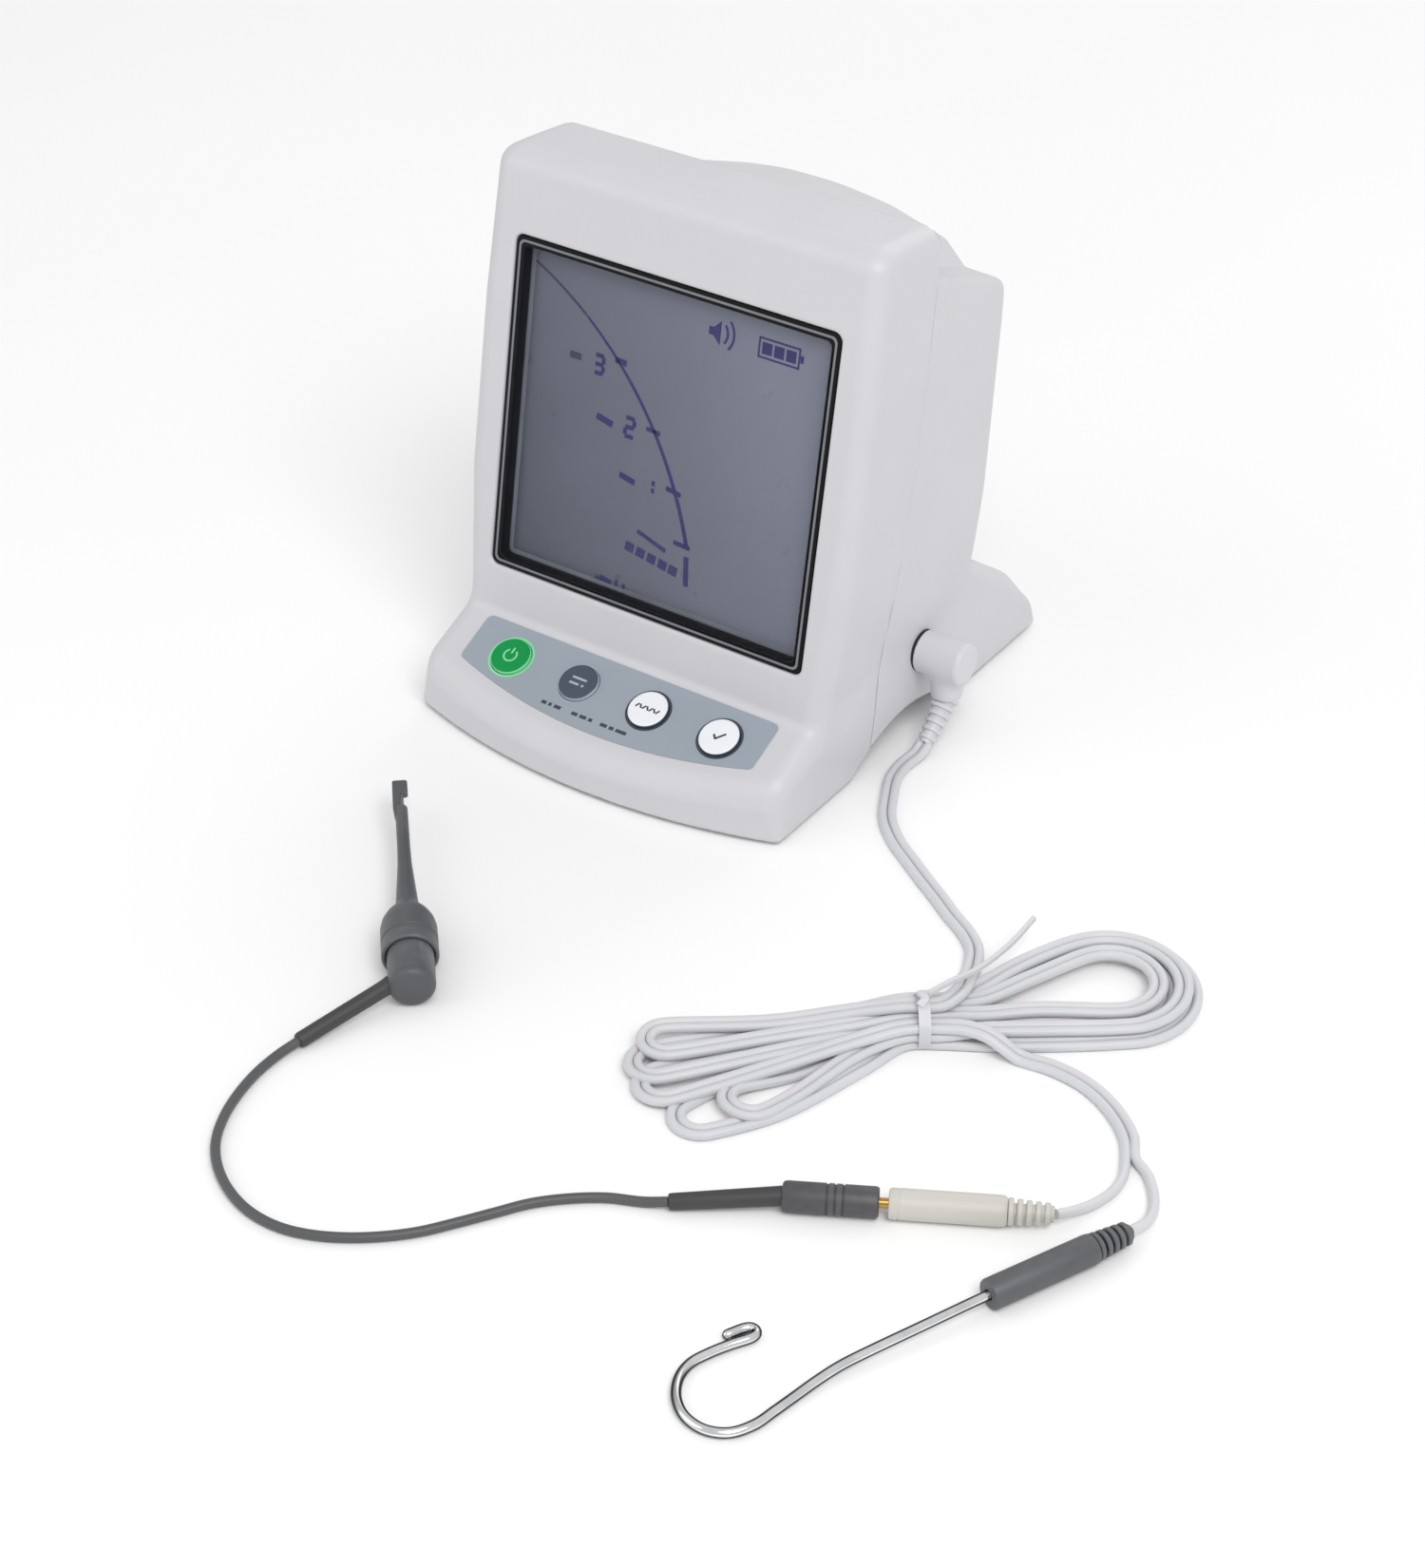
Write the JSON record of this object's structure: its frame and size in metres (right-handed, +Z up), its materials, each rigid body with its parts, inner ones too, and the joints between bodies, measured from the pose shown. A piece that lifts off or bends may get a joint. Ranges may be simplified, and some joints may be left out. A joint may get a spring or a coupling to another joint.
{
  "type": "apex locator",
  "caption": "Desk-top dental apex locator: tilted screen unit on an arched base with a four-key deck, and a plug-in measuring lead in a tied hank with file clip and lip hook.",
  "frame": {"origin": "on the table under the middle of the display unit, at the underside of its rubber feet", "axes": "+X to the right of a person facing the screen, +Y to the back of the unit, +Z up"},
  "size_m": [0.2228, 0.2624, 0.1257],
  "materials": {
    "housing": "satin gloss",
    "gasket": "matt black",
    "screen_window": "clear",
    "lcd": "grey liquid crystal",
    "diffuser": "white",
    "inner_plastic": "natural",
    "circuit_board": "solder mask",
    "metal": "plain",
    "label": "screen-printed film",
    "key_green": "satin",
    "key_slate": "satin",
    "key_white": "satin",
    "black_plastic": "matt",
    "cell": "printed sleeve",
    "copper": "flat flex",
    "gold_contact": "plated",
    "white_pvc": "soft satin",
    "grey_plastic": "satin",
    "grey_cord": "satin",
    "red_wire": "satin",
    "stainless": "polished",
    "feet": "matt"
  },
  "bodies": {
    "unit": {"front_housing": "housing", "rear_housing": "housing", "battery_door_pin": "metal", "screen_gasket": "gasket", "screen_window": "screen_window", "lcd_panel": "lcd", "lcd_backlight": "diffuser", "lcd_carrier": "inner_plastic", "main_board": "circuit_board", "board_screws": "metal", "key_board": "circuit_board", "dome_switches": "metal", "keypad_label": "label", "jack_socket": "black_plastic", "jack_nut": "black_plastic", "buzzer": "black_plastic", "battery_tray": "black_plastic", "aa_cell_1": "cell", "aa_cell_2": "cell", "aa_cell_3": "cell", "aa_cell_4": "cell", "battery_springs": "metal", "battery_contacts": "metal", "battery_leads": "red_wire", "housing_screws": "metal", "rubber_feet": "feet", "ribbon_cable": "copper"},
    "power_key": {"key_power": "key_green"},
    "mode_key": {"key_mode": "key_slate"},
    "select_key": {"key_select": "key_white"},
    "set_key": {"key_set": "key_white"},
    "door": {"battery_door": "housing"},
    "lead": {"lead_plug_pin": "gold_contact", "lead_plug_body": "white_pvc", "lead_plug_relief": "white_pvc", "lead_cable": "white_pvc", "lead_hank": "white_pvc", "lead_tie": "white_pvc", "twin_cable": "white_pvc", "clip_branch": "white_pvc", "hook_branch": "white_pvc", "clip_socket": "white_pvc", "clip_socket_relief": "white_pvc", "hook_handle": "grey_plastic", "hook_handle_relief": "grey_plastic"},
    "clip_lead": {"clip_plug_pin": "gold_contact", "clip_plug": "grey_plastic", "clip_plug_sleeve": "grey_plastic", "clip_cable": "grey_cord", "clip_sleeve": "grey_plastic", "clip_plunger": "grey_plastic", "clip_spring": "metal", "clip_jaw": "grey_plastic"},
    "clip_shell": {"clip_barrel": "grey_plastic"},
    "hook": {"lip_hook": "stainless"}
  },
  "joints": [
    {"name": "power_key_press", "type": "slide", "parent": "unit", "child": "power_key", "axis": [0, 0.4115, -0.9114], "range_m": [0, 0.0006], "stiffness_N_per_m": 1500},
    {"name": "mode_key_press", "type": "slide", "parent": "unit", "child": "mode_key", "axis": [0, 0.4115, -0.9114], "range_m": [0, 0.0006], "stiffness_N_per_m": 1500},
    {"name": "select_key_press", "type": "slide", "parent": "unit", "child": "select_key", "axis": [0, 0.4115, -0.9114], "range_m": [0, 0.0006], "stiffness_N_per_m": 1500},
    {"name": "set_key_press", "type": "slide", "parent": "unit", "child": "set_key", "axis": [0, 0.4115, -0.9114], "range_m": [0, 0.0006], "stiffness_N_per_m": 1500},
    {"name": "battery_door_swing", "type": "hinge", "parent": "unit", "child": "door", "pos_m": [0, 0.02835, 0.04311], "axis": [-1, 0, 0], "range_deg": [0, 90]},
    {"name": "lead_plug_pull", "type": "slide", "parent": "unit", "child": "lead", "axis": [1, 0, 0], "range_m": [0, 0.016]},
    {"name": "clip_plug_pull", "type": "slide", "parent": "lead", "child": "clip_lead", "axis": [-0.8746, -0.4848, 0], "range_m": [0, 0.011]},
    {"name": "clip_barrel_squeeze", "type": "slide", "parent": "clip_lead", "child": "clip_shell", "axis": [0.6579, -0.7515, -0.0488], "range_m": [0, 0.0045], "stiffness_N_per_m": 400, "deforming": ["clip_spring"]},
    {"name": "hook_pull", "type": "slide", "parent": "lead", "child": "hook", "axis": [-0.4035, -0.915, 0], "range_m": [0, 0.013]}
  ]
}
